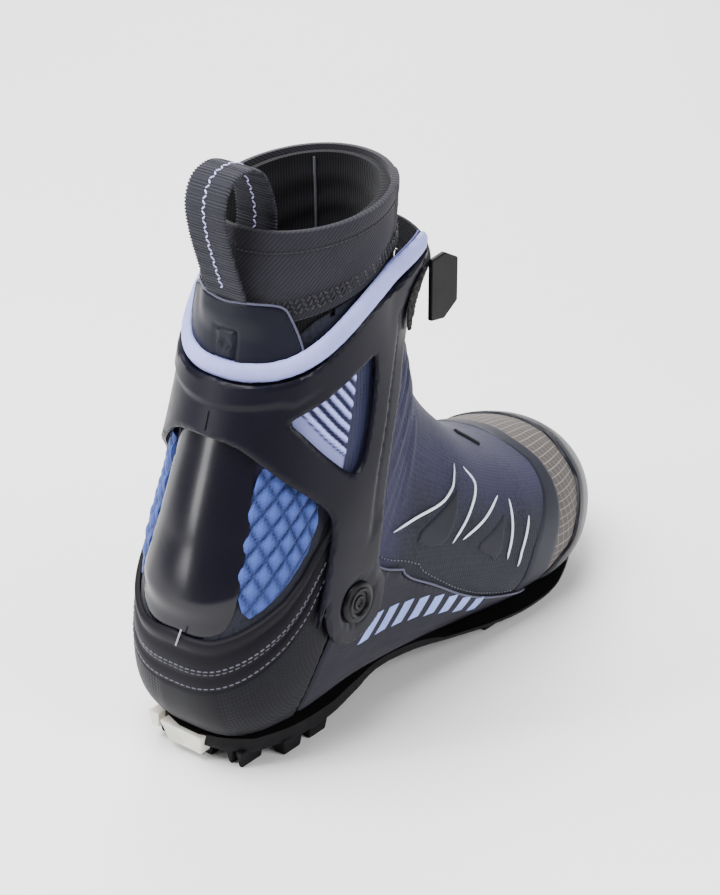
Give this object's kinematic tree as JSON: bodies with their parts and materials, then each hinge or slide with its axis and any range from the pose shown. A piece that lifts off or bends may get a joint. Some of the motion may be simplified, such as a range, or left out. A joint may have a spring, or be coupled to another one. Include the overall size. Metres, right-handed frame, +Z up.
{
  "type": "cross country ski boot",
  "caption": "High skate boot with a hinged plastic cuff, soft lined shaft, heel counter, zipped fabric cover and a lugged sole with a toe bar.",
  "frame": {"origin": "on the ground at the middle of the heel tread, in the boot's middle plane", "axes": "+Y from the heel to the toe, +X to the lateral side of this right boot, +Z up"},
  "size_m": [0.1116, 0.2907, 0.2641],
  "materials": {
    "liner_foam": "matte",
    "footbed_foam": "matte",
    "softshell": "matte",
    "toe_fabric": "matte",
    "gaiter_knit": "matte",
    "panel_plastic": "satin",
    "bumper_rubber": "semi gloss",
    "counter_plastic": "fine weave",
    "collar_fabric": "matte",
    "sole_rubber": "matte",
    "insert_plastic": "satin",
    "plate_plastic": "satin",
    "cuff_plastic": "satin",
    "pad_foam": "matte",
    "rim_fabric": "matte",
    "quilt_mesh": "matte",
    "shield_plastic": "gloss",
    "tab_plastic": "satin",
    "webbing": "ribbed",
    "strap_webbing": "matte",
    "steel": "brushed",
    "cap_plastic": "satin",
    "zip_metal": "satin black"
  },
  "bodies": {
    "boot": {"liner_heel": "liner_foam", "liner_foot": "liner_foam", "liner_toe": "liner_foam", "footbed": "footbed_foam", "vamp_cover": "softshell", "toe_cap": "toe_fabric", "ankle_gaiter": "softshell", "side_panel_lateral": "panel_plastic", "side_panel_medial": "panel_plastic", "toe_bumper": "bumper_rubber", "heel_counter": "counter_plastic", "counter_collar": "collar_fabric", "outsole": "sole_rubber", "heel_insert": "insert_plastic", "sole_plate": "plate_plastic", "toe_block": "plate_plastic", "toe_bar": "steel", "pivot_stud_lateral": "steel", "pivot_cap_lateral": "cap_plastic", "pivot_stud_medial": "steel", "pivot_cap_medial": "cap_plastic"},
    "cuff": {"cuff_shell": "cuff_plastic", "cuff_pad": "pad_foam", "cuff_rim": "rim_fabric", "liner_shaft": "liner_foam", "gaiter_sleeve": "softshell", "gaiter_band": "gaiter_knit", "achilles_shield": "shield_plastic", "quilt_lateral": "quilt_mesh", "quilt_medial": "quilt_mesh", "rear_tab": "tab_plastic", "pull_loop": "webbing", "cuff_strap": "strap_webbing", "strap_pile_patch": "strap_webbing", "zip_chain": "zip_metal"},
    "strap_end": {"strap_tab": "strap_webbing"},
    "slider": {"zip_slider": "zip_metal"}
  },
  "joints": [
    {"name": "cuff_pivot", "type": "hinge", "parent": "boot", "child": "cuff", "pos_m": [0, 0.023, 0.072], "axis": [-1, 0, 0], "range_deg": [-5, 15], "deforming": ["ankle_gaiter"]},
    {"name": "strap_peel", "type": "hinge", "parent": "cuff", "child": "strap_end", "pos_m": [0.04172, 0.08398, 0.2007], "axis": [0, 0, -1], "range_deg": [0, 70]},
    {"name": "zip_slide", "type": "slide", "parent": "cuff", "child": "slider", "axis": [0.0662, 0.1014, -0.9926], "range_m": [0, 0.036]}
  ]
}
